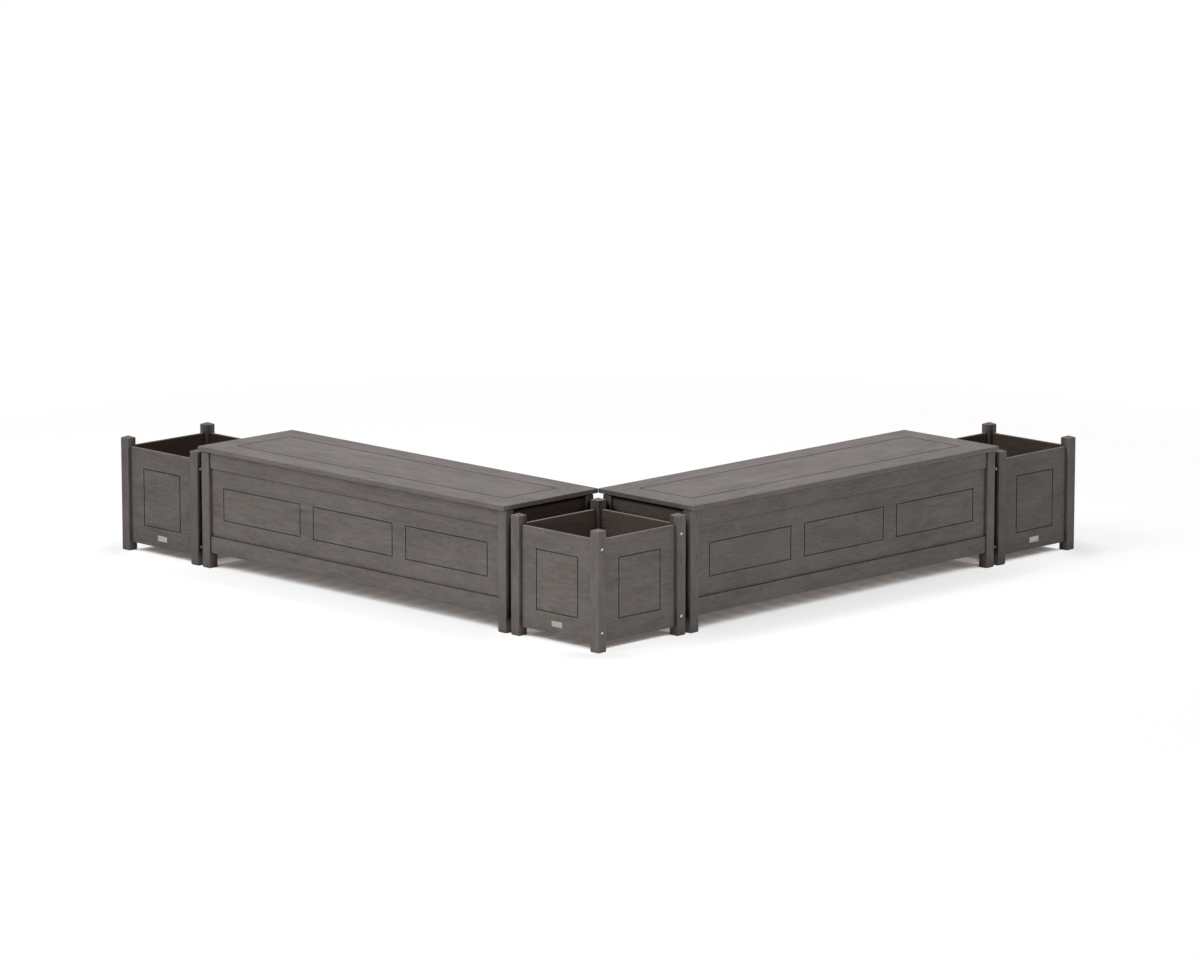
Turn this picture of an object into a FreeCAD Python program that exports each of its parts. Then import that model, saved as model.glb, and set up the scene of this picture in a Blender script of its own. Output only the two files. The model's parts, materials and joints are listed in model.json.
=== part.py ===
import FreeCAD, Part
import os

# An L-shaped set of garden furniture: two storage benches with hinged lids and three square planters.
# +Z is up, and the origin is under the middle of the set, on the ground.
# The left arm runs along X and faces -Y. The right arm runs along Y and faces +X.
# All sizes are in millimetres.

# Lumber and sheet
POST = 40.0
POST_EASE = 1.5
FOOT_CHAMFER = 2.5
SHEET = 12.0
SHEET_EASE = 1.5
TONGUE = 8.0
GROOVE_WIDTH = 6.0
GROOVE_DEPTH = 3.0

# Planter
PLANTER_WIDTH = 437.0
PLANTER_POST_HEIGHT = 432.5
CAP_HEIGHT = 7.5
PLANTER_PANEL_BOTTOM = 32.5
PLANTER_PANEL_TOP = 400.5
PLANTER_GROOVE_INSET = 75.5
PLANTER_CLEAT = 20.0
PLANTER_FLOOR_UNDERSIDE = 66.0
PLANTER_SLATS = 4
PLANTER_SLAT_GAP = 4.0
PLATE_LENGTH = 53.0
PLATE_HEIGHT = 21.0
PLATE_THICKNESS = 1.2
PLATE_RIM = 2.0
PLATE_SINK = 0.5
PIN_INSET = 9.0
PIN_RADIUS = 1.0
PIN_LENGTH = 9.0
PIN_HEAD_RADIUS = 1.8
PIN_HEAD_HEIGHT = 0.8

# Planter bolts, which enter the front and back panels through the posts
BOLT_RADIUS = 3.0
BOLT_HOLE_RADIUS = 3.2
BOLT_LENGTH = 70.0
BOLT_EDGE_DISTANCE = 35.5
BOLT_HEAD_RADIUS = 7.0
BOLT_HEAD_HEIGHT = 4.0
BOLT_SOCKET_FLATS = 4.0
BOLT_SOCKET_DEPTH = 2.5
BARREL_RADIUS = 5.0
BARREL_LENGTH = 10.5
BARREL_DISTANCE = 60.0

# Bench box
BENCH_LENGTH = 1631.0
BENCH_DEPTH = 440.0
BENCH_POST_HEIGHT = 442.0
RAIL_THICKNESS = 26.0
RAIL_EASE = 2.5
BOTTOM_RAIL_UNDERSIDE = 58.0
BOTTOM_RAIL_HEIGHT = 63.5
TOP_RAIL_HEIGHT = 61.5
TENON_LENGTH = 12.0
TENON_SHOULDER = 6.0
BENCH_FIELDS = 3
BENCH_FIELD_SPACING = 72.0
BENCH_GROOVE_INSET = 68.5
BENCH_CLEAT_WIDTH = 20.0
BENCH_CLEAT_HEIGHT = 22.0
BENCH_FLOOR_UNDERSIDE = 95.0
BENCH_SLAT_WIDTH = 90.0
BENCH_SLATS = 16
SLAT_END_CLEARANCE = 1.0

# Bench lid
LID_THICKNESS = 18.0
LID_GAP = 2.5
LID_FRONT_OVERHANG = 13.5
LID_BACK_OVERHANG = 20.0
LID_END_OVERHANG = 3.0
LID_EASE = 3.0
LID_GROOVE_INSET = 105.0
BATTENS = 4
BATTEN_WIDTH = 45.0
BATTEN_THICKNESS = 18.0
BATTEN_END_DISTANCE = 52.0
BATTEN_EASE = 2.0
BATTEN_SCREW_INSET = 40.0
BATTEN_SCREW_LENGTH = 28.0
BUMPER_RADIUS = 9.0

# Lid hinges
HINGES = 3
HINGE_END_DISTANCE = 180.0
HINGE_LENGTH = 76.0
HINGE_LEAF = 2.0
HINGE_LEAF_WIDTH = 30.0
HINGE_KNUCKLES = 5
KNUCKLE_RADIUS = 3.5
KNUCKLE_GAP = 0.4
KNUCKLE_CLEARANCE = 0.5
HINGE_PIN_RADIUS = 1.75
HINGE_PIN_CLEARANCE = 0.05
HINGE_PIN_OVERHANG = 1.5
HINGE_SCREWS = 3
HINGE_SCREW_SPACING = 26.0
HINGE_SCREW_DISTANCE = 18.0
HINGE_SCREW_LENGTH = 15.0

# Wood screws
SCREW_RADIUS = 1.75
SCREW_HEAD_RADIUS = 3.4
SCREW_HEAD_HEIGHT = 2.0
RECESS_LENGTH = 3.4
RECESS_WIDTH = 0.9
RECESS_DEPTH = 1.2

# Spacing of the five units
CORNER_GAP = 25.0
END_GAP = 27.0

PANEL_RECESS = (POST - SHEET) / 2
RAIL_RECESS = (POST - RAIL_THICKNESS) / 2
BOTTOM_RAIL_TOP = BOTTOM_RAIL_UNDERSIDE + BOTTOM_RAIL_HEIGHT
TOP_RAIL_UNDERSIDE = BENCH_POST_HEIGHT - TOP_RAIL_HEIGHT
LID_UNDERSIDE = BENCH_POST_HEIGHT + LID_GAP
HINGE_Y = BENCH_DEPTH - RAIL_RECESS + KNUCKLE_CLEARANCE + KNUCKLE_RADIUS
HINGE_Z = LID_UNDERSIDE - KNUCKLE_CLEARANCE - KNUCKLE_RADIUS
BENCH_PROUD = (BENCH_DEPTH - PLANTER_WIDTH) / 2
FRONT_REACH = BENCH_PROUD + LID_FRONT_OVERHANG
BENCH_START = PLANTER_WIDTH + CORNER_GAP
END_PLANTER_START = BENCH_START + BENCH_LENGTH + END_GAP
ARM_LENGTH = END_PLANTER_START + PLANTER_WIDTH
CORNER = (ARM_LENGTH + BOLT_HEAD_HEIGHT - FRONT_REACH) / 2

X_AXIS = FreeCAD.Vector(1, 0, 0)
Y_AXIS = FreeCAD.Vector(0, 1, 0)
Z_AXIS = FreeCAD.Vector(0, 0, 1)
ORIGIN = FreeCAD.Vector(0, 0, 0)

# Each unit is drawn with its front left corner at the origin, then turned and moved to its place.
UNITS = {
    "corner_planter": (CORNER - PLANTER_WIDTH, -CORNER, 0),
    "left_planter": (CORNER - ARM_LENGTH, -CORNER, 0),
    "right_planter": (CORNER, -CORNER + END_PLANTER_START, 90),
    "left_bench": (CORNER - BENCH_START - BENCH_LENGTH, -CORNER - BENCH_PROUD, 0),
    "right_bench": (CORNER + BENCH_PROUD, -CORNER + BENCH_START, 90),
}
PLANTERS = ("corner_planter", "left_planter", "right_planter")
BENCHES = ("left_bench", "right_bench")


def block(x0, x1, y0, y1, z0, z1):
    """A box between two corners."""
    return Part.makeBox(x1 - x0, y1 - y0, z1 - z0, FreeCAD.Vector(x0, y0, z0))


def rod(radius, length, start, direction):
    """A round bar."""
    return Part.makeCylinder(radius, length, start, direction)


def ease_edges(shape, radius, keep):
    """Round the straight edges that the test picks."""
    return shape.makeFillet(radius, [edge for edge in shape.Edges if keep(edge)])


def along(axis):
    """A test for edges that run along an axis."""
    return lambda edge: abs(edge.tangentAt(edge.FirstParameter).dot(axis)) > 0.999


def turned(shape, degrees, centre=ORIGIN):
    """A copy turned about a vertical line."""
    result = shape.copy()
    result.rotate(centre, Z_AXIS, degrees)
    return result


def moved(shape, x, y=0.0, z=0.0):
    """A copy moved along the axes."""
    result = shape.copy()
    result.translate(FreeCAD.Vector(x, y, z))
    return result


def without(shape, cutters):
    """The shape with all the cutters taken out of it."""
    return shape.cut(Part.makeCompound(cutters)) if cutters else shape


def opposite(shape, width, depth):
    """A copy turned half a turn about the middle of a unit."""
    return turned(shape, 180, FreeCAD.Vector(width / 2, depth / 2, 0))


def groove_ring(x0, x1, z0, z1):
    """A cutter for a routed rectangle on a face at y = 0, given by the groove's centre line."""
    half = GROOVE_WIDTH / 2
    outer = block(x0 - half, x1 + half, 0, GROOVE_DEPTH, z0 - half, z1 + half)
    inner = block(x0 + half, x1 - half, 0, GROOVE_DEPTH, z0 + half, z1 - half)
    return outer.cut(inner)


def sheet_panel(clear_width, clear_height, tongue_z, inset, fields, spacing):
    """An upright sheet: its front face is at y = 0, and its clear face starts at x = 0, z = 0."""
    sheet = block(-TONGUE, clear_width + TONGUE, 0, SHEET, -tongue_z, clear_height + tongue_z)
    if tongue_z == 0:
        sheet = ease_edges(sheet, SHEET_EASE, along(X_AXIS))
    field = (clear_width - 2 * inset - (fields - 1) * spacing) / fields
    starts = [inset + index * (field + spacing) for index in range(fields)]
    return without(sheet, [groove_ring(x, x + field, inset, clear_height - inset) for x in starts])


def post_blank(height, cap_height=0.0):
    """A square post with a chamfered foot, eased long edges and, where it has one, a low pyramid cap."""
    outline = block(0, POST, 0, POST, 0, height)
    foot = [edge for edge in outline.Edges if edge.BoundBox.ZMax < 0.01]
    outline = outline.makeChamfer(FOOT_CHAMFER, foot)
    if cap_height:
        corners = [(0, 0), (POST, 0), (POST, POST), (0, POST), (0, 0)]
        base = Part.makePolygon([FreeCAD.Vector(x, y, height) for x, y in corners])
        apex = Part.Vertex(FreeCAD.Vector(POST / 2, POST / 2, height + cap_height))
        outline = outline.fuse(Part.makeLoft([base, apex], True, True))
    stock = ease_edges(block(0, POST, 0, POST, 0, height + cap_height), POST_EASE, along(Z_AXIS))
    return outline.common(stock).removeSplitter()


def post_corners(width, depth):
    """The four places of a unit's posts: front left, front right, back left, back right."""
    return [(x, y) for y in (0, depth - POST) for x in (0, width - POST)]


def planter_panels():
    """The four grooved sheets between a planter's posts: front, right, back, left."""
    clear = PLANTER_WIDTH - 2 * POST
    height = PLANTER_PANEL_TOP - PLANTER_PANEL_BOTTOM
    front = sheet_panel(clear, height, 0, PLANTER_GROOVE_INSET, 1, 0)
    front = moved(front, POST, PANEL_RECESS, PLANTER_PANEL_BOTTOM)
    centre = FreeCAD.Vector(PLANTER_WIDTH / 2, PLANTER_WIDTH / 2, 0)
    return [turned(front, 90 * quarter, centre) for quarter in range(4)]


def planter_bolt_places():
    """Start point and direction of each bolt, on the outer faces of the posts."""
    places = []
    for z in (PLANTER_PANEL_BOTTOM + BOLT_EDGE_DISTANCE, PLANTER_PANEL_TOP - BOLT_EDGE_DISTANCE):
        for y in (POST / 2, PLANTER_WIDTH - POST / 2):
            places.append((FreeCAD.Vector(0, y, z), X_AXIS))
            places.append((FreeCAD.Vector(PLANTER_WIDTH, y, z), -X_AXIS))
    return places


def domed_head(radius, height, start, direction):
    """The cap of a sphere that stands on a face, for something driven into it along the direction."""
    sphere_radius = (radius ** 2 + height ** 2) / (2 * height)
    ball = Part.makeSphere(sphere_radius, start - direction * (height - sphere_radius))
    return ball.common(rod(radius, height, start, -direction))


def bolt(start, direction):
    """A domed bolt with a hexagon socket, its head standing on the face it enters."""
    head = domed_head(BOLT_HEAD_RADIUS, BOLT_HEAD_HEIGHT, start, direction)
    corner = BOLT_SOCKET_FLATS / 3 ** 0.5
    rim = start - direction * BOLT_HEAD_HEIGHT
    points = [rim + Y_AXIS * corner * y + Z_AXIS * corner * z for y, z in hexagon()]
    socket = Part.Face(Part.makePolygon(points)).extrude(direction * BOLT_SOCKET_DEPTH)
    return head.cut(socket).fuse(rod(BOLT_RADIUS, BOLT_LENGTH, start, direction)).removeSplitter()


def hexagon():
    """The closed outline of a hexagon with corners at radius 1."""
    half_height = 3 ** 0.5 / 2
    return [(1, 0), (0.5, half_height), (-0.5, half_height), (-1, 0),
            (-0.5, -half_height), (0.5, -half_height), (1, 0)]


def barrel_blank(start, direction):
    """The cross nut's outer shape, sunk into a panel from its inner face."""
    inward = 1 if start.y < PLANTER_WIDTH / 2 else -1
    inner_face = start.y + inward * SHEET / 2
    place = start + direction * BARREL_DISTANCE
    place.y = inner_face
    return rod(BARREL_RADIUS, BARREL_LENGTH, place, Y_AXIS * -inward)


def plate_middle():
    """The middle of the plate's front face, between the groove and the front panel's lower edge."""
    groove_bottom = PLANTER_PANEL_BOTTOM + PLANTER_GROOVE_INSET
    z = (PLANTER_PANEL_BOTTOM + groove_bottom - GROOVE_WIDTH / 2) / 2
    return FreeCAD.Vector(PLANTER_WIDTH / 2, PANEL_RECESS - PLATE_THICKNESS, z)


def plate_pins():
    """The two domed pins that hold the plate on the front panel."""
    start = plate_middle() + Y_AXIS * PLATE_SINK
    reach = PLATE_LENGTH / 2 - PIN_INSET
    pins = []
    for place in (start - X_AXIS * reach, start + X_AXIS * reach):
        head = domed_head(PIN_HEAD_RADIUS, PIN_HEAD_HEIGHT, place, Y_AXIS)
        pins.append(head.fuse(rod(PIN_RADIUS, PIN_LENGTH, place, Y_AXIS)).removeSplitter())
    return pins


def planter_plate():
    """A bare plate with a raised rim, low on the front panel."""
    half_x = PLATE_LENGTH / 2
    half_z = PLATE_HEIGHT / 2
    outer = ease_edges(block(-half_x, half_x, 0, PLATE_THICKNESS, -half_z, half_z), PLATE_RIM, along(Y_AXIS))
    field_x = half_x - PLATE_RIM
    field_z = half_z - PLATE_RIM
    field = block(-field_x, field_x, 0, PLATE_SINK, -field_z, field_z)
    place = plate_middle()
    return moved(outer.cut(field), place.x, place.y, place.z)


def floor_slats(count, width, gap, inner, depth, underside):
    """Evenly spaced slats that reach from front to back, between the inner faces of the walls."""
    front = inner + SLAT_END_CLEARANCE
    slats = []
    for index in range(count):
        x = POST + gap + index * (width + gap)
        slats.append(block(x, x + width, front, depth - front, underside, underside + SHEET))
    return slats


def planter_floor():
    """Slats from front to back and the two cleats that carry them."""
    inner = PANEL_RECESS + SHEET
    cleat = block(POST, PLANTER_WIDTH - POST, inner, inner + PLANTER_CLEAT,
                  PLANTER_FLOOR_UNDERSIDE - PLANTER_CLEAT, PLANTER_FLOOR_UNDERSIDE)
    cleats = [cleat, opposite(cleat, PLANTER_WIDTH, PLANTER_WIDTH)]
    clear = PLANTER_WIDTH - 2 * POST
    width = (clear - (PLANTER_SLATS + 1) * PLANTER_SLAT_GAP) / PLANTER_SLATS
    slats = floor_slats(PLANTER_SLATS, width, PLANTER_SLAT_GAP, inner, PLANTER_WIDTH, PLANTER_FLOOR_UNDERSIDE)
    return slats, cleats


def planter_nodes():
    """Every piece of one planter, by name."""
    panels = planter_panels()
    places = planter_bolt_places()
    blank = post_blank(PLANTER_POST_HEIGHT, CAP_HEIGHT)
    holes = [rod(BOLT_HOLE_RADIUS, BOLT_LENGTH, start, direction) for start, direction in places]
    barrels = [barrel_blank(start, direction) for start, direction in places]
    bolts = [bolt(start, direction) for start, direction in places]
    pins = plate_pins()
    corners = post_corners(PLANTER_WIDTH, PLANTER_WIDTH)
    posts = [without(moved(blank, x, y), panels + holes) for x, y in corners]
    front, right, back, left = panels
    slats, cleats = planter_floor()
    return {
        "posts": posts,
        "front_panel": [without(front, holes + barrels + pins)],
        "back_panel": [without(back, holes + barrels)],
        "side_panels": [left, right],
        "floor_slats": slats,
        "floor_cleats": cleats,
        "planter_plates": [without(planter_plate(), pins)],
        "planter_plate_pins": pins,
        "planter_bolts": bolts,
        "planter_barrel_nuts": [barrel.cut(shank) for barrel, shank in zip(barrels, bolts)],
    }


def rail(length, bottom, height):
    """A rail between two posts with a tenon at each end: its outer face is at y = 0."""
    bar = block(0, length, 0, RAIL_THICKNESS, bottom, bottom + height)
    bar = ease_edges(bar, RAIL_EASE, along(X_AXIS))
    cheek = (RAIL_THICKNESS - SHEET) / 2
    tenon = block(-TENON_LENGTH, length + TENON_LENGTH, cheek, cheek + SHEET,
                  bottom + TENON_SHOULDER, bottom + height - TENON_SHOULDER)
    return bar.fuse(tenon).removeSplitter()


def bench_side(length, fields):
    """Panel, bottom rail and top rail between two posts, with the outer post face at y = 0."""
    clear_height = TOP_RAIL_UNDERSIDE - BOTTOM_RAIL_TOP
    panel = sheet_panel(length, clear_height, TONGUE, BENCH_GROOVE_INSET, fields, BENCH_FIELD_SPACING)
    panel = moved(panel, 0, PANEL_RECESS, BOTTOM_RAIL_TOP)
    bottom = moved(rail(length, BOTTOM_RAIL_UNDERSIDE, BOTTOM_RAIL_HEIGHT), 0, RAIL_RECESS)
    top = moved(rail(length, TOP_RAIL_UNDERSIDE, TOP_RAIL_HEIGHT), 0, RAIL_RECESS)
    return panel, bottom.cut(panel), top.cut(panel)


def bench_end(side):
    """A short side turned to stand at the bench's left end."""
    return moved(turned(side, -90), 0, BENCH_DEPTH - POST)


def bench_floor():
    """Slats from front to back and the two cleats that carry them."""
    inner = RAIL_RECESS + RAIL_THICKNESS
    cleat = block(POST, BENCH_LENGTH - POST, inner, inner + BENCH_CLEAT_WIDTH,
                  BENCH_FLOOR_UNDERSIDE - BENCH_CLEAT_HEIGHT, BENCH_FLOOR_UNDERSIDE)
    cleats = [cleat, opposite(cleat, BENCH_LENGTH, BENCH_DEPTH)]
    clear = BENCH_LENGTH - 2 * POST
    gap = (clear - BENCH_SLATS * BENCH_SLAT_WIDTH) / (BENCH_SLATS + 1)
    slats = floor_slats(BENCH_SLATS, BENCH_SLAT_WIDTH, gap, inner, BENCH_DEPTH, BENCH_FLOOR_UNDERSIDE)
    return slats, cleats


def lid_board():
    """The lid's slab with eased edges, sharp corners and one routed rectangle on top."""
    x0, x1 = -LID_END_OVERHANG, BENCH_LENGTH + LID_END_OVERHANG
    y0, y1 = -LID_FRONT_OVERHANG, BENCH_DEPTH + LID_BACK_OVERHANG
    top = LID_UNDERSIDE + LID_THICKNESS
    upright = along(Z_AXIS)
    slab = ease_edges(block(x0, x1, y0, y1, LID_UNDERSIDE, top), LID_EASE, lambda edge: not upright(edge))
    inset = LID_GROOVE_INSET
    ring = groove_ring(x0 + inset, x1 - inset, y0 + inset, y1 - inset)
    ring.rotate(ORIGIN, X_AXIS, -90)
    return slab.cut(moved(ring, 0, 0, top))


def lid_battens():
    """Stiffening battens across the lid's underside, clear of the box's rails."""
    pitch = BENCH_LENGTH / BATTENS
    low = LID_UNDERSIDE - BATTEN_THICKNESS
    battens = []
    for index in range(BATTENS):
        x = (index + 0.5) * pitch - BATTEN_WIDTH / 2
        batten = block(x, x + BATTEN_WIDTH, BATTEN_END_DISTANCE, BENCH_DEPTH - BATTEN_END_DISTANCE,
                       low, LID_UNDERSIDE)
        battens.append(ease_edges(batten, BATTEN_EASE, lambda edge: edge.BoundBox.ZMax < LID_UNDERSIDE - 1))
    return battens


def batten_screw_seats():
    """Start, direction and length of the two screws up through each batten into the lid."""
    pitch = BENCH_LENGTH / BATTENS
    low = LID_UNDERSIDE - BATTEN_THICKNESS
    front = BATTEN_END_DISTANCE + BATTEN_SCREW_INSET
    ends = (front, BENCH_DEPTH - front)
    places = [FreeCAD.Vector((index + 0.5) * pitch, y, low) for index in range(BATTENS) for y in ends]
    return [(place, Z_AXIS, BATTEN_SCREW_LENGTH) for place in places]


def screw_blank(start, direction, length):
    """A countersunk screw's outer shape, its head flush with the face it enters."""
    head = Part.makeCone(SCREW_HEAD_RADIUS, SCREW_RADIUS, SCREW_HEAD_HEIGHT, start, direction)
    shank = rod(SCREW_RADIUS, length - SCREW_HEAD_HEIGHT, start + direction * SCREW_HEAD_HEIGHT, direction)
    return head.fuse(shank).removeSplitter()


def screw(start, direction, length):
    """A countersunk screw with a cross recess in its head."""
    half_length = RECESS_LENGTH / 2
    half_width = RECESS_WIDTH / 2
    slot = block(-half_length, half_length, -half_width, half_width, 0, RECESS_DEPTH)
    cross = slot.fuse(turned(slot, 90))
    cross.Placement = FreeCAD.Placement(start, FreeCAD.Rotation(Z_AXIS, direction))
    return screw_blank(start, direction, length).cut(cross)


def blanks(seats):
    """The outer shapes of screws, for cutting their holes."""
    return [screw_blank(*seat) for seat in seats]


def hinge_starts():
    """Where each hinge begins along the bench."""
    last = BENCH_LENGTH - HINGE_END_DISTANCE - HINGE_LENGTH
    step = (last - HINGE_END_DISTANCE) / (HINGES - 1)
    return [HINGE_END_DISTANCE + index * step for index in range(HINGES)]


def knuckle_spans(start, first):
    """The stretches of a hinge's barrel that one leaf holds: first is 0 for the frame, 1 for the lid."""
    pitch = HINGE_LENGTH / HINGE_KNUCKLES
    indexes = range(first, HINGE_KNUCKLES, 2)
    return [(start + index * pitch, start + (index + 1) * pitch) for index in indexes]


def hinge_rod(radius, x0, x1):
    """A round bar on the hinge's axis between two places along the bench."""
    return rod(radius, x1 - x0, FreeCAD.Vector(x0, HINGE_Y, HINGE_Z), X_AXIS)


def hinge_leaf(start, first, plate, seats):
    """One leaf of a hinge: a plate with its knuckles, notched around the other leaf's knuckles."""
    reach = KNUCKLE_RADIUS + KNUCKLE_CLEARANCE
    notches = [block(x0, x1, HINGE_Y - reach, HINGE_Y + reach, HINGE_Z - reach, HINGE_Z + reach)
               for x0, x1 in knuckle_spans(start, 1 - first)]
    barrels = [hinge_rod(KNUCKLE_RADIUS, x0 + KNUCKLE_GAP / 2, x1 - KNUCKLE_GAP / 2)
               for x0, x1 in knuckle_spans(start, first)]
    bore_radius = HINGE_PIN_RADIUS + first * HINGE_PIN_CLEARANCE
    bore = hinge_rod(bore_radius, start, start + HINGE_LENGTH)
    leaf = without(plate, notches).fuse(barrels)
    return without(leaf, [bore] + blanks(seats)).removeSplitter()


def hinge_screw_seats(start, place, direction):
    """Start, direction and length of one leaf's screws, spaced along the bench from the leaf's middle."""
    middle = start + HINGE_LENGTH / 2
    offsets = [(index - (HINGE_SCREWS - 1) / 2) * HINGE_SCREW_SPACING for index in range(HINGE_SCREWS)]
    return [(place + X_AXIS * (middle + offset), direction, HINGE_SCREW_LENGTH) for offset in offsets]


def frame_leaf(start):
    """The leaf on the back of the back top rail, and its screws' seats."""
    face = BENCH_DEPTH - RAIL_RECESS
    plate = block(start, start + HINGE_LENGTH, face, face + HINGE_LEAF, HINGE_Z - HINGE_LEAF_WIDTH, HINGE_Z)
    place = FreeCAD.Vector(0, face + HINGE_LEAF, HINGE_Z - HINGE_SCREW_DISTANCE)
    seats = hinge_screw_seats(start, place, -Y_AXIS)
    return hinge_leaf(start, 0, plate, seats), seats


def lid_leaf(start):
    """The leaf under the lid, and its screws' seats."""
    plate = block(start, start + HINGE_LENGTH, HINGE_Y - HINGE_LEAF_WIDTH, HINGE_Y,
                  LID_UNDERSIDE - HINGE_LEAF, LID_UNDERSIDE)
    place = FreeCAD.Vector(0, HINGE_Y - HINGE_SCREW_DISTANCE, LID_UNDERSIDE - HINGE_LEAF)
    seats = hinge_screw_seats(start, place, Z_AXIS)
    return hinge_leaf(start, 1, plate, seats), seats


def hinge_pin(start):
    """The pin of one hinge, fixed in the frame leaf's knuckles."""
    return hinge_rod(HINGE_PIN_RADIUS, start - HINGE_PIN_OVERHANG, start + HINGE_LENGTH + HINGE_PIN_OVERHANG)


def lid_bumpers():
    """Soft pads on the post tops, which the closed lid rests on."""
    half = POST / 2
    return [rod(BUMPER_RADIUS, LID_GAP, FreeCAD.Vector(x + half, y + half, BENCH_POST_HEIGHT), Z_AXIS)
            for x, y in post_corners(BENCH_LENGTH, BENCH_DEPTH)]


def bench_nodes():
    """Every piece of one bench, by name."""
    front = [moved(piece, POST) for piece in bench_side(BENCH_LENGTH - 2 * POST, BENCH_FIELDS)]
    back = [opposite(piece, BENCH_LENGTH, BENCH_DEPTH) for piece in front]
    left_end = [bench_end(piece) for piece in bench_side(BENCH_DEPTH - 2 * POST, 1)]
    right_end = [opposite(piece, BENCH_LENGTH, BENCH_DEPTH) for piece in left_end]
    blank = post_blank(BENCH_POST_HEIGHT)
    sides = front + back + left_end + right_end
    posts = [without(moved(blank, x, y), sides) for x, y in post_corners(BENCH_LENGTH, BENCH_DEPTH)]
    frame_leaves, frame_seat_groups = zip(*[frame_leaf(start) for start in hinge_starts()])
    lid_leaves, lid_seat_groups = zip(*[lid_leaf(start) for start in hinge_starts()])
    frame_seats = [seat for group in frame_seat_groups for seat in group]
    lid_seats = [seat for group in lid_seat_groups for seat in group]
    batten_seats = batten_screw_seats()
    slats, cleats = bench_floor()
    return {
        "front_posts": posts[:2],
        "back_posts": posts[2:],
        "front_panel": [front[0]],
        "front_bottom_rail": [front[1]],
        "front_top_rail": [front[2]],
        "back_panel": [back[0]],
        "back_bottom_rail": [back[1]],
        "back_top_rail": [without(back[2], blanks(frame_seats))],
        "end_panels": [left_end[0], right_end[0]],
        "end_rails": left_end[1:] + right_end[1:],
        "floor_slats": slats,
        "floor_cleats": cleats,
        "lid": [without(lid_board(), blanks(lid_seats + batten_seats))],
        "lid_battens": [without(batten, blanks(batten_seats)) for batten in lid_battens()],
        "batten_screws": [screw(*seat) for seat in batten_seats],
        "lid_hinge_leaves": list(lid_leaves),
        "lid_hinge_screws": [screw(*seat) for seat in lid_seats],
        "frame_hinge_leaves": list(frame_leaves),
        "frame_hinge_screws": [screw(*seat) for seat in frame_seats],
        "hinge_pins": [hinge_pin(start) for start in hinge_starts()],
        "lid_bumpers": lid_bumpers(),
    }


def place_unit(shape, unit):
    """Turn and move a piece from its unit's own frame to the set's frame."""
    x, y, turn = UNITS[unit]
    return moved(turned(shape, turn), x, y)


# Small hardware that is the same on every unit shares one node. Every other name gets its unit in front.
SHARED = ("planter_plates", "planter_plate_pins", "planter_bolts", "planter_barrel_nuts",
          "frame_hinge_leaves", "frame_hinge_screws", "hinge_pins", "lid_bumpers")

pieces = {}
for units, drawn in ((PLANTERS, planter_nodes()), (BENCHES, bench_nodes())):
    for unit in units:
        for name, solids in drawn.items():
            node = name if name in SHARED else unit + "_" + name
            pieces.setdefault(node, []).extend(place_unit(solid, unit) for solid in solids)

os.makedirs("parts", exist_ok=True)
for node, solids in pieces.items():
    shape = solids[0] if len(solids) == 1 else Part.makeCompound(solids)
    shape.exportStep("parts/" + node + ".step")
    broken = [solid for solid in solids if not solid.isValid() or len(solid.Solids) != 1]
    print(node, len(solids), "BROKEN" if broken else "ok")
print(len(pieces), "nodes")
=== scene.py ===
import json
import math

import bpy
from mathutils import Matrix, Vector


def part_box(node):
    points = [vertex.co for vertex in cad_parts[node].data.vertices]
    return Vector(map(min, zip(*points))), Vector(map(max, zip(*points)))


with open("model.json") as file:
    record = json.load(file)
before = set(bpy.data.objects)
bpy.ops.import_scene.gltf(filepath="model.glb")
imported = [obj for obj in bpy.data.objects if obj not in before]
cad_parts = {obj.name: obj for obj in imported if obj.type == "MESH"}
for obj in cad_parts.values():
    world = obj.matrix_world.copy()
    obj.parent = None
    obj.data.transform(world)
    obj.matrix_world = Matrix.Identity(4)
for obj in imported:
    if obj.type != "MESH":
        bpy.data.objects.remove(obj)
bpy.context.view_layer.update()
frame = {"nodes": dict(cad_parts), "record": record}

# Lengths are in metres, and angles in radians.
# A pair of numbers is where a look starts and where it is full, or the values that it goes between.
# Noise is counted in cells per metre: along the grain or the brushing first, then across it.

# The camera stands in front of the corner, far away, and looks along the corner's diagonal.
CAMERA_PLACE = (15.0753, -15.0755, 4.3990)
CAMERA_YAW = math.radians(44.982)
CAMERA_PITCH = math.radians(-10.963)
CAMERA_REACH = 200.0
LENS_MM = 171.87
SENSOR_MM = 36.0

# Softboxes, as place, size and power in watts: overhead, high on the left, and low in front
SOFTBOXES = {
    "overhead": ((0.0, 0.0, 11.0), 7.0, 1160.0),
    "left": ((-2.5, -9.5, 9.0), 6.0, 415.0),
    "front": ((9.5, -8.0, 3.5), 6.0, 126.0),
}

WHITE = (1.0, 1.0, 1.0, 1.0)
WORLD_COLOUR = (0.16, 0.16, 0.16, 1.0)

# Floor, as the light on the object meets it and as the camera sees it, with a painted shadow under and
# around the set
FLOOR_SIZE = 90.0
FLOOR_COLOUR = (0.92, 0.92, 0.92, 1.0)
FLOOR_SEEN_COLOUR = (0.68, 0.68, 0.68, 1.0)
# Painted shadow: the darker colour that the camera sees on the floor under the set
FLOOR_PAINTED_SHADOW_COLOUR = (0.20, 0.20, 0.20, 1.0)
SHADOW_TINT = (1.0, 0.89, 0.82, 1.0)
SHADOW_REACH = 0.35
SHADOW_SAMPLES = 24
# The floor's painted glow, which paints the soft shadow around the set: its strength under the set, at the
# shadow's middle, at its edge, and in the open
FLOOR_DEEP_LIFT = 0.12
FLOOR_MIDDLE_LIFT = 0.42
FLOOR_EDGE_LIFT = 0.755
FLOOR_OPEN_LIFT = 0.26
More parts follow.
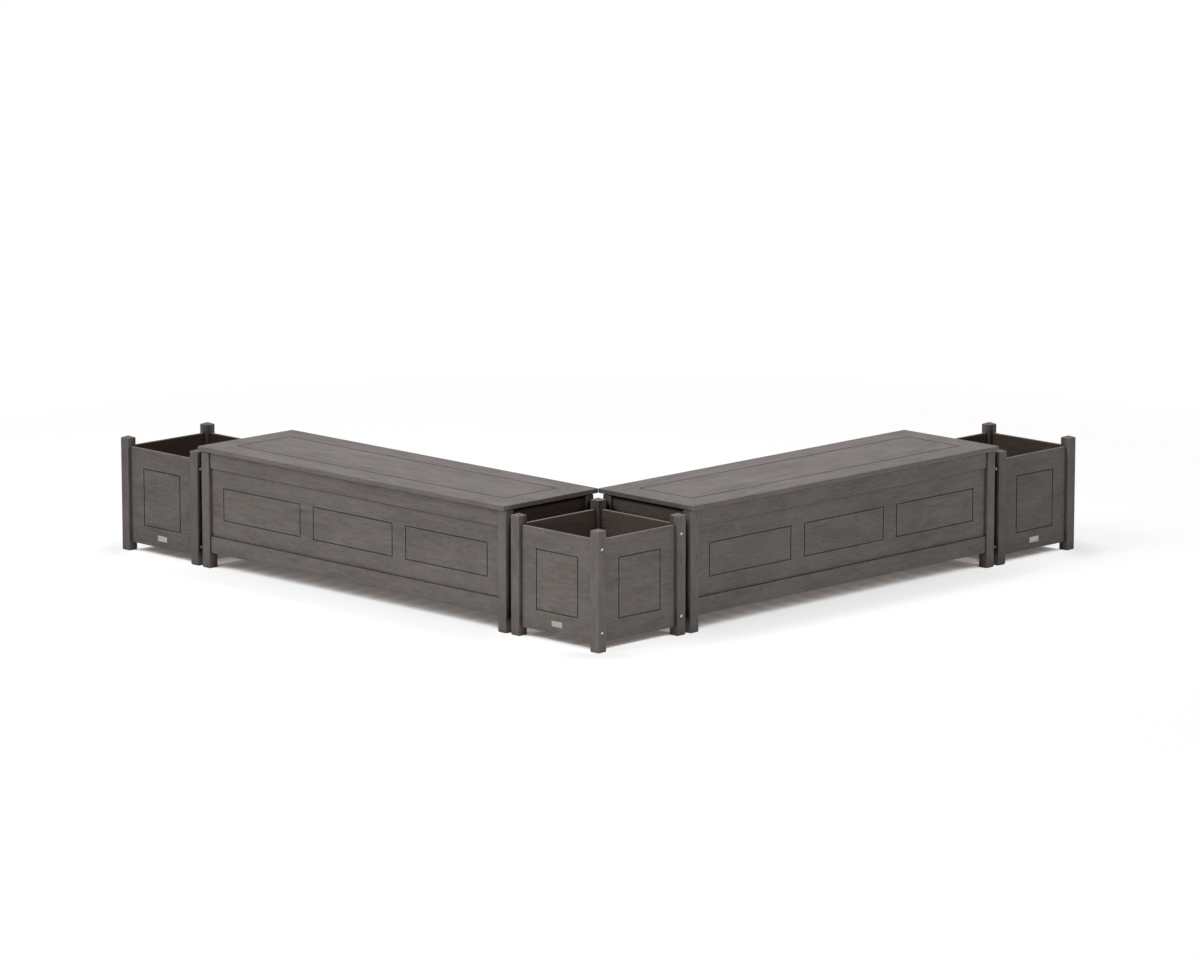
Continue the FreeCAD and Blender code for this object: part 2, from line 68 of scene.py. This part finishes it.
# How open the floor is where its shade lifts, and where its glow rises, comes to its edge and falls
SHADE_OPENNESS = (0.11, 0.25)
RISE_OPENNESS = (0.10, 0.19)
EDGE_OPENNESS = (0.19, 0.32)
FALL_OPENNESS = (0.36, 0.80)
# Distances from the middle of the set over which the floor turns white
BACKDROP_RANGE = (2.1, 4.0)

# Grey-brown finish, as the dark, middle and light tones of its grain
TONE_DARK = (0.129, 0.1145, 0.106, 1.0)
TONE_MIDDLE = (0.174, 0.156, 0.1465, 1.0)
TONE_LIGHT = (0.211, 0.191, 0.1805, 1.0)
DARK_TO_MIDDLE = (0.38, 0.50)
MIDDLE_TO_LIGHT = (0.50, 0.62)
COOL_TINT = (0.995, 1.0, 1.0, 1.0)
WARM_TINT = (1.013, 1.0, 0.978, 1.0)
COOL_TO_WARM = (0.3, 0.7)
PORE_COLOUR = (0.078, 0.068, 0.061, 1.0)
PORE_NOISE = (0.68, 0.80)
PORE_STRENGTH = 0.6

# Layers of the grain, as cells along it and across it, octaves of detail, and roughness
GRAIN_LAYERS = {
    "patches": (3.5, 9.0, 2.0, 0.5),
    "clouds": (9.0, 34.0, 2.0, 0.5),
    "streaks": (12.0, 90.0, 2.0, 0.5),
    "lines": (30.0, 210.0, 2.0, 0.6),
    "mottle": (70.0, 110.0, 2.0, 0.6),
    "fibres": (24.0, 620.0, 3.0, 0.6),
    "pores": (45.0, 300.0, 1.0, 0.5),
}
# Share of each layer in the tone
TONE_SHARES = {
    "patches": 0.20, "clouds": 0.18, "streaks": 0.16,
    "lines": 0.22, "mottle": 0.14, "fibres": 0.10,
}
WARMTH_CELLS = (6.0, 26.0)
# Steps in the noise: from one piece to the next, and from a piece's tone to its warmth
GRAIN_SHIFT = 3.7
WARMTH_SHIFT = 1.3

# Share of each layer in the height of the wood's surface, and the height's size
FIBRE_HEIGHT = 0.5
STREAK_HEIGHT = 0.6
PORE_DEPTH = 0.8
WOOD_RELIEF = 0.00035
WOOD_SPECULAR = 0.07
WOOD_ROUGHNESS = (0.84, 0.70)
ROUGH_TONES = (0.38, 0.64)

# Worn edges with a painted highlight, as the cosine between a rounded and a sharp edge, and the noise that
# breaks them up
WORN_AND_HIGHLIGHT_COLOUR = (0.305, 0.285, 0.267, 1.0)
EDGE_RADIUS = 0.0040
EDGE_SAMPLES = 6
EDGE_COSINE = (0.995, 0.86)
WEAR_AND_HIGHLIGHT_OPENNESS = (0.45, 0.75)
WEAR_AND_HIGHLIGHT_NOISE = (0.35, 0.65)
LEAST_WEAR_AND_HIGHLIGHT = 0.45

# Painted shade inside the units and on the benches' ends, a painted tint on top faces, and the end
# planters' darker tone
# Painted shade on the faces that look into a unit
INSIDE_PAINTED_SHADE_TINT = (0.82, 0.72, 0.66, 1.0)
# The two end planters, darker all over
END_PLANTER_TINT = (0.82, 0.82, 0.83, 1.0)
# A painted cooler, darker tint on the faces that look up, for how light and sheen fall on them
TOP_FACE_LIGHT_TINT = (0.915, 0.93, 0.953, 1.0)
WALL_DEPTH = 0.020
# Painted shade on the insides of the two end planters, against the corner planter's
END_PLANTER_INSIDE_SHADE_TINTS = {"left_planter": (0.57, 0.48, 0.44, 1.0), "right_planter": (0.79, 0.775, 0.69, 1.0)}
# Painted shade on the benches' ends under the lids, which are darker than their fronts
BENCH_END_SHADE_TINTS = {"left_bench": (0.58, 0.42, 0.41, 1.0), "right_bench": (0.86, 0.79, 0.74, 1.0)}
# How far up a face looks, from 1 for straight up to -1 for straight down
UPPER_FACE = (0.5, 0.9)
UNDERSIDE = (0.15, -0.45)

# Grime and painted shade in the grooves, above the feet
GRIME_AND_SHADE_COLOUR = (0.050, 0.038, 0.031, 1.0)
CREVICE_REACH = 0.012
CREVICE_SAMPLES = 6
GRIME_AND_SHADE_OPENNESS = (0.87, 0.60)
GRIME_AND_SHADE_STRENGTH = 0.82
GRIME_AND_SHADE_HEIGHTS = (0.004, 0.016)

# Deep shade in the slits between the units, above the feet, and under the lids' ends
DEEP_TINT = (0.065, 0.040, 0.032, 1.0)
DEEP_REACH = 0.16
DEEP_SAMPLES = 16
DEEP_OPENNESS = (0.42, 0.26)
DEEP_HEIGHTS = (0.03, 0.06)
LID_SHADE_HEIGHTS = (0.427, 0.437)

# Stainless hardware
STEEL_DARK = (0.34, 0.34, 0.33, 1.0)
STEEL_LIGHT = (0.55, 0.55, 0.53, 1.0)
# Painted shade on the hardware's faces that look down
STEEL_UNDERSIDE_SHADE = (0.08, 0.075, 0.07, 1.0)
STEEL_CLOUD_CELLS = 180.0
STEEL_SCRATCH_CELLS = (350.0, 2600.0)
STEEL_NOISE = (0.35, 0.65)
# Grime and painted shade in the hardware's hollows
STEEL_GRIME_AND_SHADE_REACH = 0.004
STEEL_GRIME_AND_SHADE_OPENNESS = (0.6, 0.2)
STEEL_GRIME_AND_SHADE_STRENGTH = 0.6
STEEL_SHADE_REACH = 0.05
STEEL_SHADE_OPENNESS = (0.55, 0.30)
STEEL_ROUGHNESS = (0.24, 0.42)

# Planter plates
PLATE_DARK = (0.25, 0.24, 0.19, 1.0)
PLATE_LIGHT = (0.47, 0.455, 0.37, 1.0)
PLATE_BRUSHING_CELLS = (90.0, 2200.0)
PLATE_CLOUD_CELLS = 120.0
PLATE_NOISE = (0.3, 0.6)
PLATE_SHINE = (0.5, 1.0)
PLATE_RIM_REACH = 0.0015
PLATE_RIM_OPENNESS = (0.55, 0.95)
PLATE_ROUGHNESS = (0.32, 0.50)
PLATE_METALLIC = 0.6

# Scratches and clouds on the steel and the plates
METAL_CLOUD_DETAIL = 3.0
METAL_LINE_ROUGHNESS = 0.6
METAL_LINE_NOISE = (0.3, 0.7)
METAL_RELIEF = 0.00002

# Rubber bumpers
RUBBER_DARK = (0.012, 0.012, 0.012, 1.0)
RUBBER_LIGHT = (0.030, 0.029, 0.028, 1.0)
RUBBER_PEBBLE_CELLS = 1400.0
RUBBER_CLOUD_CELLS = 90.0
RUBBER_NOISE = (0.3, 0.7)
RUBBER_ROUGHNESS = (0.75, 0.9)
RUBBER_RELIEF = 0.00005

# Places of the sockets that Blender's Mix node uses for colours
MIX_SHARE = 0
MIX_FIRST = 6
MIX_SECOND = 7
MIX_RESULT = 2


class Shader:
    """The node tree of one material, with short calls that add and join nodes."""

    def __init__(self, name):
        self.material = bpy.data.materials.new(name)
        self.material.use_nodes = True
        self.tree = self.material.node_tree
        self.tree.nodes.clear()

    def add(self, kind, inputs=None, **settings):
        """A node with its settings, and with values or links on its inputs."""
        node = self.tree.nodes.new(kind)
        for name, value in settings.items():
            setattr(node, name, value)
        for name, value in (inputs or {}).items():
            self.put(node.inputs[name], value)
        return node

    def put(self, socket, value):
        """Join another node's output to the socket, or set its value."""
        if isinstance(value, bpy.types.NodeSocket):
            self.tree.links.new(value, socket)
        else:
            socket.default_value = value

    def calculate(self, operation, first, second=0.0):
        """One sum on two numbers."""
        return self.add("ShaderNodeMath", {0: first, 1: second}, operation=operation).outputs[0]

    def spread(self, value, low, high, new_low=0.0, new_high=1.0):
        """Map a stretch of values to another, held at both ends."""
        inputs = {"Value": value, "From Min": low, "From Max": high, "To Min": new_low, "To Max": new_high}
        return self.add("ShaderNodeMapRange", inputs, clamp=True).outputs[0]

    def blend(self, share, first, second, blend_type="MIX"):
        """A colour between two, by share, or the first with the second's tint."""
        node = self.add("ShaderNodeMix", data_type="RGBA", blend_type=blend_type)
        self.put(node.inputs[MIX_SHARE], share)
        self.put(node.inputs[MIX_FIRST], first)
        self.put(node.inputs[MIX_SECOND], second)
        return node.outputs[MIX_RESULT]

    def object_place(self):
        """The place on the piece while it is at rest, in the set's own frame."""
        return self.add("ShaderNodeTexCoord").outputs["Object"]

    def noise(self, vector, scale, detail=2.0, roughness=0.5):
        """Smooth noise from 0 to 1."""
        inputs = {"Vector": vector, "Scale": scale, "Detail": detail, "Roughness": roughness}
        return self.add("ShaderNodeTexNoise", inputs, noise_dimensions="3D").outputs[0]

    def grain_noise(self, place, along, across, shift=0.0, detail=2.0, roughness=0.5):
        """Noise stretched along the grain, by its cells along it and across it."""
        inputs = {"Vector": place, "Location": (shift, shift, shift), "Scale": (along, across, across)}
        stretched = self.add("ShaderNodeMapping", inputs).outputs[0]
        return self.noise(stretched, 1.0, detail, roughness)

    def edge_mask(self, radius):
        """About 1 on outer and inner edges within the radius, and 0 on flat faces."""
        rounded = self.add("ShaderNodeBevel", {"Radius": radius}, samples=EDGE_SAMPLES).outputs[0]
        straight = self.add("ShaderNodeNewGeometry").outputs["Normal"]
        dot = self.add("ShaderNodeVectorMath", {0: rounded, 1: straight}, operation="DOT_PRODUCT")
        return self.spread(dot.outputs["Value"], *EDGE_COSINE)

    def openness(self, reach, samples=CREVICE_SAMPLES):
        """1 where nothing stands close by, and less in grooves and corners."""
        node = self.add("ShaderNodeAmbientOcclusion", {"Distance": reach}, samples=samples)
        return node.outputs["AO"]

    def close(self, colour, roughness, height, relief, metallic=0.0, specular=0.5):
        """The surface shader and the output."""
        bump = self.add("ShaderNodeBump", {"Strength": 1.0, "Distance": relief, "Height": height})
        surface = self.add("ShaderNodeBsdfPrincipled",
                           {"Base Color": colour, "Roughness": roughness, "Metallic": metallic,
                            "Specular IOR Level": specular, "Normal": bump.outputs[0]})
        output = self.add("ShaderNodeOutputMaterial")
        self.tree.links.new(surface.outputs[0], output.inputs[0])
        return self.material


def grain_axis(node):
    """The row axis that a wooden piece's grain runs along."""
    if node.endswith("posts"):
        return "z"
    crosswise = node.endswith(("side_panels", "end_panels", "end_rails", "floor_slats", "lid_battens"))
    turned = node.startswith(("right_bench", "right_planter"))
    return "y" if crosswise != turned else "x"


def unit_name(node):
    """The bench or planter that a wooden piece belongs to, such as left_bench."""
    return "_".join(node.split("_")[:2])


def unit_box(node):
    """The lowest and highest corner of the bench or planter that a wooden piece belongs to."""
    unit = unit_name(node)
    boxes = [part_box(name) for name in frame["nodes"] if name.startswith(unit) and name.endswith("posts")]
    low = [min(box[0][axis] for box in boxes) for axis in range(3)]
    high = [max(box[1][axis] for box in boxes) for axis in range(3)]
    return low, high


def place_along_grain(shader, axis):
    """The place in the wood, with the way along the grain first."""
    parts = shader.add("ShaderNodeSeparateXYZ", {0: shader.object_place()}).outputs
    order = {"x": (0, 1, 2), "y": (1, 0, 2), "z": (2, 0, 1)}[axis]
    return shader.add("ShaderNodeCombineXYZ", {new: parts[old] for new, old in enumerate(order)}).outputs[0]


def resting_normal(shader):
    """The way a face looks while its piece is at rest."""
    normal = shader.add("ShaderNodeNewGeometry").outputs["Normal"]
    return shader.add("ShaderNodeVectorTransform", {0: normal}, vector_type="NORMAL",
                      convert_from="WORLD", convert_to="OBJECT").outputs[0]


def faces_inward(shader, low, high):
    """1 on the faces that look into a unit from its walls and lid, and 0 on its outside."""
    place = shader.object_place()
    middle = [(first + last) / 2 for first, last in zip(low, high)]
    outward = shader.add("ShaderNodeVectorMath", {0: place, 1: middle}, operation="SUBTRACT").outputs[0]
    dot = shader.add("ShaderNodeVectorMath", {0: outward, 1: resting_normal(shader)},
                     operation="DOT_PRODUCT")
    inward = shader.calculate("LESS_THAN", dot.outputs["Value"], 0.0)
    parts = shader.add("ShaderNodeSeparateXYZ", {0: outward}).outputs
    for axis in (0, 1):
        reach = (high[axis] - low[axis]) / 2 - WALL_DEPTH
        within = shader.calculate("LESS_THAN", shader.calculate("ABSOLUTE", parts[axis]), reach)
        inward = shader.calculate("MULTIPLY", inward, within)
    return inward


def upward_share(shader, start, full):
    """0 to 1 by how far up a face looks at rest."""
    parts = shader.add("ShaderNodeSeparateXYZ", {0: resting_normal(shader)}).outputs
    return shader.spread(parts["Z"], start, full)


def height_share(shader, start, full):
    """0 to 1 by the height above the ground at rest."""
    parts = shader.add("ShaderNodeSeparateXYZ", {0: shader.object_place()}).outputs
    return shader.spread(parts["Z"], start, full)


def grain_tone(shader, layers):
    """The grain's layers added up, from 0 for dark wood to 1 for light wood."""
    tone = 0.0
    for name, share in TONE_SHARES.items():
        tone = shader.calculate("ADD", tone, shader.calculate("MULTIPLY", layers[name], share))
    return tone


def grain_colour(shader, place, shift, tone):
    """The finish in its three tones, slightly cooler and warmer in places."""
    dark_share = shader.spread(tone, *DARK_TO_MIDDLE)
    light_share = shader.spread(tone, *MIDDLE_TO_LIGHT)
    colour = shader.blend(dark_share, TONE_DARK, TONE_MIDDLE)
    colour = shader.blend(light_share, colour, TONE_LIGHT)
    warmth = shader.grain_noise(place, *WARMTH_CELLS, shift + WARMTH_SHIFT)
    warmth = shader.spread(warmth, *COOL_TO_WARM)
    return shader.blend(1.0, colour, shader.blend(warmth, COOL_TINT, WARM_TINT), "MULTIPLY")


def worn_and_highlit_edges(shader, colour, openness, streaks):
    """The colour with lighter, broken wear and a painted highlight along the open edges."""
    edge = shader.edge_mask(EDGE_RADIUS)
    edge = shader.calculate("MULTIPLY", edge, shader.spread(openness, *WEAR_AND_HIGHLIGHT_OPENNESS))
    worn = shader.calculate("MULTIPLY", edge, shader.spread(streaks, *WEAR_AND_HIGHLIGHT_NOISE, LEAST_WEAR_AND_HIGHLIGHT, 1.0))
    return shader.blend(worn, colour, WORN_AND_HIGHLIGHT_COLOUR)


def painted_shade_and_tints(shader, colour, node):
    """The colour with painted shade inside and on the benches' ends, a painted cooler tint on top, and the
    end planters darker all over, by unit.
    """
    unit = unit_name(node)
    inside = faces_inward(shader, *unit_box(node))
    colour = shader.blend(inside, colour, INSIDE_PAINTED_SHADE_TINT, "MULTIPLY")
    if unit in END_PLANTER_INSIDE_SHADE_TINTS:
        colour = shader.blend(1.0, colour, END_PLANTER_TINT, "MULTIPLY")
        if not node.endswith("posts"):
            colour = shader.blend(inside, colour, END_PLANTER_INSIDE_SHADE_TINTS[unit], "MULTIPLY")
    colour = shader.blend(upward_share(shader, *UPPER_FACE), colour, TOP_FACE_LIGHT_TINT, "MULTIPLY")
    if node.endswith(("end_panels", "end_rails")):
        colour = shader.blend(1.0, colour, BENCH_END_SHADE_TINTS[unit], "MULTIPLY")
    return colour


def grime_and_shade(shader, colour, openness, node):
    """The colour with grime and painted shade in its grooves, and painted deep shade in narrow slits and
    under the lids' ends.
    """
    grime_and_shade_share = shader.spread(openness, *GRIME_AND_SHADE_OPENNESS, 0.0, GRIME_AND_SHADE_STRENGTH)
    grime_and_shade_share = shader.calculate("MULTIPLY", grime_and_shade_share, height_share(shader, *GRIME_AND_SHADE_HEIGHTS))
    colour = shader.blend(grime_and_shade_share, colour, GRIME_AND_SHADE_COLOUR)
    deep = shader.spread(shader.openness(DEEP_REACH, DEEP_SAMPLES), *DEEP_OPENNESS)
    deep = shader.calculate("MULTIPLY", deep, height_share(shader, *DEEP_HEIGHTS))
    colour = shader.blend(deep, colour, DEEP_TINT, "MULTIPLY")
    if node.endswith("end_rails"):
        colour = shader.blend(height_share(shader, *LID_SHADE_HEIGHTS), colour, DEEP_TINT, "MULTIPLY")
    return colour


def surface_height(shader, layers, pore):
    """The wood's relief: raised fibres and streaks, and sunk pores."""
    height = shader.calculate("ADD", shader.calculate("MULTIPLY", layers["fibres"], FIBRE_HEIGHT),
                              shader.calculate("MULTIPLY", layers["streaks"], STREAK_HEIGHT))
    return shader.calculate("SUBTRACT", height, shader.calculate("MULTIPLY", pore, PORE_DEPTH))


def stained_wood(node, number):
    """Stained wood for one piece, with a stretch of grain of its own by number."""
    shader = Shader("wood_" + node)
    place = place_along_grain(shader, grain_axis(node))
    shift = number * GRAIN_SHIFT
    layers = {name: shader.grain_noise(place, along, across, shift, detail, roughness)
              for name, (along, across, detail, roughness) in GRAIN_LAYERS.items()}
    tone = grain_tone(shader, layers)
    colour = grain_colour(shader, place, shift, tone)
    pore = shader.spread(layers["pores"], *PORE_NOISE, 0.0, PORE_STRENGTH)
    colour = shader.blend(pore, colour, PORE_COLOUR)
    openness = shader.openness(CREVICE_REACH)
    colour = worn_and_highlit_edges(shader, colour, openness, layers["streaks"])
    colour = painted_shade_and_tints(shader, colour, node)
    colour = grime_and_shade(shader, colour, openness, node)
    roughness = shader.spread(tone, *ROUGH_TONES, *WOOD_ROUGHNESS)
    height = surface_height(shader, layers, pore)
    return shader.close(colour, roughness, height, WOOD_RELIEF, specular=WOOD_SPECULAR)


def stainless_steel():
    """Plain stainless hardware with fine scratches, grime and painted shade in its hollows, and painted
    shade on its undersides.
    """
    shader = Shader("stainless_steel")
    place = shader.object_place()
    clouds = shader.noise(place, STEEL_CLOUD_CELLS, METAL_CLOUD_DETAIL)
    scratches = shader.grain_noise(place, *STEEL_SCRATCH_CELLS, roughness=METAL_LINE_ROUGHNESS)
    colour = shader.blend(shader.spread(clouds, *STEEL_NOISE), STEEL_DARK, STEEL_LIGHT)
    hollows = shader.openness(STEEL_GRIME_AND_SHADE_REACH)
    grime_and_shade_share = shader.spread(hollows, *STEEL_GRIME_AND_SHADE_OPENNESS, 0.0, STEEL_GRIME_AND_SHADE_STRENGTH)
    colour = shader.blend(grime_and_shade_share, colour, GRIME_AND_SHADE_COLOUR)
    colour = shader.blend(upward_share(shader, *UNDERSIDE), colour, STEEL_UNDERSIDE_SHADE)
    shade = shader.spread(shader.openness(STEEL_SHADE_REACH), *STEEL_SHADE_OPENNESS)
    colour = shader.blend(shade, colour, DEEP_TINT, "MULTIPLY")
    roughness = shader.spread(scratches, *METAL_LINE_NOISE, *STEEL_ROUGHNESS)
    return shader.close(colour, roughness, scratches, METAL_RELIEF, metallic=1.0)


def plate_metal():
    """Pale brass-coloured plate: bright worn rim, duller sunk field."""
    shader = Shader("plate_metal")
    place = shader.object_place()
    brushed = shader.grain_noise(place, *PLATE_BRUSHING_CELLS, roughness=METAL_LINE_ROUGHNESS)
    clouds = shader.noise(place, PLATE_CLOUD_CELLS, METAL_CLOUD_DETAIL)
    shine = shader.spread(clouds, *PLATE_NOISE, *PLATE_SHINE)
    worn = shader.spread(shader.openness(PLATE_RIM_REACH), *PLATE_RIM_OPENNESS)
    colour = shader.blend(shader.calculate("MULTIPLY", shine, worn), PLATE_DARK, PLATE_LIGHT)
    roughness = shader.spread(brushed, *METAL_LINE_NOISE, *PLATE_ROUGHNESS)
    return shader.close(colour, roughness, brushed, METAL_RELIEF, metallic=PLATE_METALLIC)


def dull_rubber():
    """Matt black rubber with a fine pebbled skin."""
    shader = Shader("dull_rubber")
    place = shader.object_place()
    pebbles = shader.noise(place, RUBBER_PEBBLE_CELLS)
    clouds = shader.noise(place, RUBBER_CLOUD_CELLS)
    colour = shader.blend(clouds, RUBBER_DARK, RUBBER_LIGHT)
    roughness = shader.spread(clouds, *RUBBER_NOISE, *RUBBER_ROUGHNESS)
    return shader.close(colour, roughness, pebbles, RUBBER_RELIEF)


def finish_nodes():
    """Give every piece its material, by the slot that the record names for it."""
    plain = {"hardware": stainless_steel(), "plate": plate_metal(), "bumper": dull_rubber()}
    for number, entry in enumerate(frame["record"]["subparts"]):
        node = entry["node"]
        material = plain.get(entry["material_slot"]) or stained_wood(node, number)
        slots = frame["nodes"][node].data.materials
        slots.clear()
        slots.append(material)


def seen_directly(shader):
    """1 for what the camera, a reflection or a glass sees, and 0 for the light on the object."""
    path = shader.add("ShaderNodeLightPath").outputs
    seen = shader.calculate("MAXIMUM", path["Is Camera Ray"], path["Is Glossy Ray"])
    return shader.calculate("MAXIMUM", seen, path["Is Transmission Ray"])


def painted_floor_glow(shader, openness):
    """The strength of the floor's painted glow, which paints the soft shadow: it rises out of the shadow,
    then falls towards the open.
    """
    rise = shader.spread(openness, *RISE_OPENNESS, FLOOR_DEEP_LIFT, FLOOR_MIDDLE_LIFT)
    edge = shader.spread(openness, *EDGE_OPENNESS, 0.0, FLOOR_EDGE_LIFT - FLOOR_MIDDLE_LIFT)
    fall = shader.spread(openness, *FALL_OPENNESS, 0.0, FLOOR_EDGE_LIFT - FLOOR_OPEN_LIFT)
    return shader.calculate("SUBTRACT", shader.calculate("ADD", rise, edge), fall)


def floor_material():
    """A pale floor that keeps shadows, with a painted darker, warmer shadow under the set and a painted
    glow that makes it brighter where it is open, and turns white far out.
    """
    shader = Shader("pale_floor")
    matt = shader.add("ShaderNodeBsdfDiffuse", {"Color": FLOOR_COLOUR}).outputs[0]
    openness = shader.openness(SHADOW_REACH, SHADOW_SAMPLES)
    shade = shader.spread(openness, *SHADE_OPENNESS)
    seen_colour = shader.blend(shade, FLOOR_PAINTED_SHADOW_COLOUR, FLOOR_SEEN_COLOUR)
    seen_matt = shader.add("ShaderNodeBsdfDiffuse", {"Color": seen_colour}).outputs[0]
    glow = painted_floor_glow(shader, openness)
    tint = shader.blend(shade, SHADOW_TINT, WHITE)
    lift = shader.add("ShaderNodeEmission", {"Color": tint, "Strength": glow}).outputs[0]
    near = shader.add("ShaderNodeAddShader", {0: seen_matt, 1: lift}).outputs[0]
    far = shader.add("ShaderNodeEmission", {"Color": WHITE, "Strength": 1.0}).outputs[0]
    place = shader.object_place()
    distance = shader.add("ShaderNodeVectorMath", {0: place}, operation="LENGTH").outputs["Value"]
    backdrop = shader.spread(distance, *BACKDROP_RANGE)
    seen = shader.add("ShaderNodeMixShader", {0: backdrop, 1: near, 2: far}).outputs[0]
    both = shader.add("ShaderNodeMixShader", {0: seen_directly(shader), 1: matt, 2: seen}).outputs[0]
    output = shader.add("ShaderNodeOutputMaterial")
    shader.tree.links.new(both, output.inputs[0])
    return shader.material


def make_floor():
    """The floor that the set stands on."""
    bpy.ops.mesh.primitive_plane_add(size=FLOOR_SIZE)
    floor = bpy.context.object
    floor.name = "floor"
    floor.data.materials.append(floor_material())


def make_world():
    """A faint even surround that looks white to the camera and in reflections."""
    world = bpy.data.worlds.new("surround")
    world.use_nodes = True
    bpy.context.scene.world = world
    tree = world.node_tree
    tree.nodes.clear()
    light = tree.nodes.new("ShaderNodeBackground")
    light.inputs[0].default_value = WORLD_COLOUR
    seen = tree.nodes.new("ShaderNodeBackground")
    seen.inputs[0].default_value = WHITE
    path = tree.nodes.new("ShaderNodeLightPath").outputs
    share = path["Is Camera Ray"]
    for ray in ("Is Glossy Ray", "Is Transmission Ray"):
        larger = tree.nodes.new("ShaderNodeMath")
        larger.operation = "MAXIMUM"
        tree.links.new(share, larger.inputs[0])
        tree.links.new(path[ray], larger.inputs[1])
        share = larger.outputs[0]
    mix = tree.nodes.new("ShaderNodeMixShader")
    output = tree.nodes.new("ShaderNodeOutputWorld")
    tree.links.new(share, mix.inputs[0])
    tree.links.new(light.outputs[0], mix.inputs[1])
    tree.links.new(seen.outputs[0], mix.inputs[2])
    tree.links.new(mix.outputs[0], output.inputs[0])


def make_softboxes():
    """Large soft lamps that point at the set and that the camera doesn't see."""
    for name, (place, size, power) in SOFTBOXES.items():
        data = bpy.data.lights.new(name, "AREA")
        data.shape = "SQUARE"
        data.size = size
        data.energy = power
        lamp = bpy.data.objects.new(name, data)
        bpy.context.scene.collection.objects.link(lamp)
        lamp.location = place
        lamp.rotation_euler = (-lamp.location).to_track_quat("-Z", "Y").to_euler()
        lamp.visible_camera = False


def make_camera():
    """The camera at the photograph's place."""
    data = bpy.data.cameras.new("camera")
    data.sensor_fit = "HORIZONTAL"
    data.sensor_width = SENSOR_MM
    data.lens = LENS_MM
    data.clip_end = CAMERA_REACH
    camera = bpy.data.objects.new("camera", data)
    bpy.context.scene.collection.objects.link(camera)
    camera.location = CAMERA_PLACE
    camera.rotation_euler = (math.pi / 2 + CAMERA_PITCH, 0.0, CAMERA_YAW)
    bpy.context.scene.camera = camera


make_camera()
make_world()
make_softboxes()
make_floor()
finish_nodes()
bpy.context.scene.view_settings.view_transform = "Standard"
